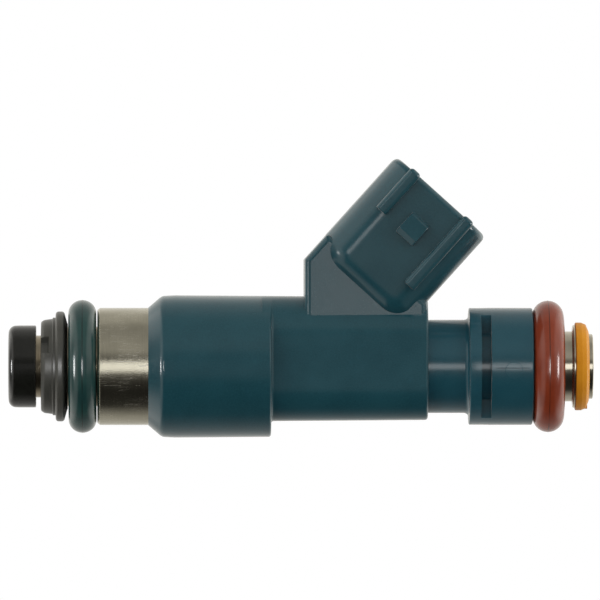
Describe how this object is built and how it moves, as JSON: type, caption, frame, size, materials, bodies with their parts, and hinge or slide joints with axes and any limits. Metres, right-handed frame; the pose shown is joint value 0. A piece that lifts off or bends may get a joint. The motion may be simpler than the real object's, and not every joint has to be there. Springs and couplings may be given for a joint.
{
  "type": "fuel injector",
  "caption": "Top-feed solenoid fuel injector with a plastic-moulded body, angled two-pin connector, steel valve body and sealing O-rings at both ends.",
  "frame": {"origin": "centre of the nozzle cap's end face", "axes": "+Z along the injector's axis, from the nozzle towards the fuel inlet; the electrical connector leans out towards -X; the connector's latch side faces -Y"},
  "size_m": [0.0312, 0.0158, 0.0648],
  "materials": {
    "blue_plastic": "moulded glass-filled nylon, satin",
    "housing_steel": "turned, satin",
    "nozzle_steel": "ground",
    "tube_steel": "drawn, satin",
    "valve_steel": "ground",
    "magnetic_iron": "turned",
    "ball_steel": "polished",
    "spring_steel": "drawn wire",
    "black_plastic": "moulded, semi-gloss",
    "grey_plastic": "moulded, satin",
    "yellow_plastic": "moulded, satin",
    "bobbin_plastic": "moulded",
    "filter_plastic": "moulded",
    "teal_rubber": "moulded seal rubber, oiled",
    "brown_rubber": "moulded seal rubber, oiled",
    "copper_wire": "enamelled wire",
    "terminal_tin": "tin plated",
    "filter_brass": "drawn",
    "filter_weave": "woven nylon"
  },
  "bodies": {
    "injector_body": {"nozzle_cap": "black_plastic", "orifice_plate": "valve_steel", "valve_seat": "valve_steel", "needle_guide": "valve_steel", "nozzle_body": "nozzle_steel", "lower_spacer_ring": "grey_plastic", "lower_o_ring": "teal_rubber", "lift_stop_shim": "valve_steel", "nonmagnetic_sleeve": "valve_steel", "steel_housing": "housing_steel", "coil_bobbin": "bobbin_plastic", "coil_winding": "copper_wire", "flux_washer": "magnetic_iron", "terminal_1": "terminal_tin", "terminal_2": "terminal_tin", "return_spring": "spring_steel", "spring_adjuster": "valve_steel", "inlet_tube": "tube_steel", "overmold_body": "blue_plastic", "upper_o_ring": "brown_rubber", "o_ring_retainer": "yellow_plastic", "filter_ring": "filter_brass", "filter_frame": "filter_plastic", "filter_mesh": "filter_weave"},
    "needle_assembly": {"needle": "valve_steel", "valve_ball": "ball_steel", "armature": "magnetic_iron"}
  },
  "joints": [
    {"name": "needle_lift", "type": "slide", "parent": "injector_body", "child": "needle_assembly", "axis": [0, 0, 1], "range_m": [0, 0.0001], "stiffness_N_per_m": 1500, "springref_m": -0.0002, "deforming": ["return_spring"]}
  ]
}
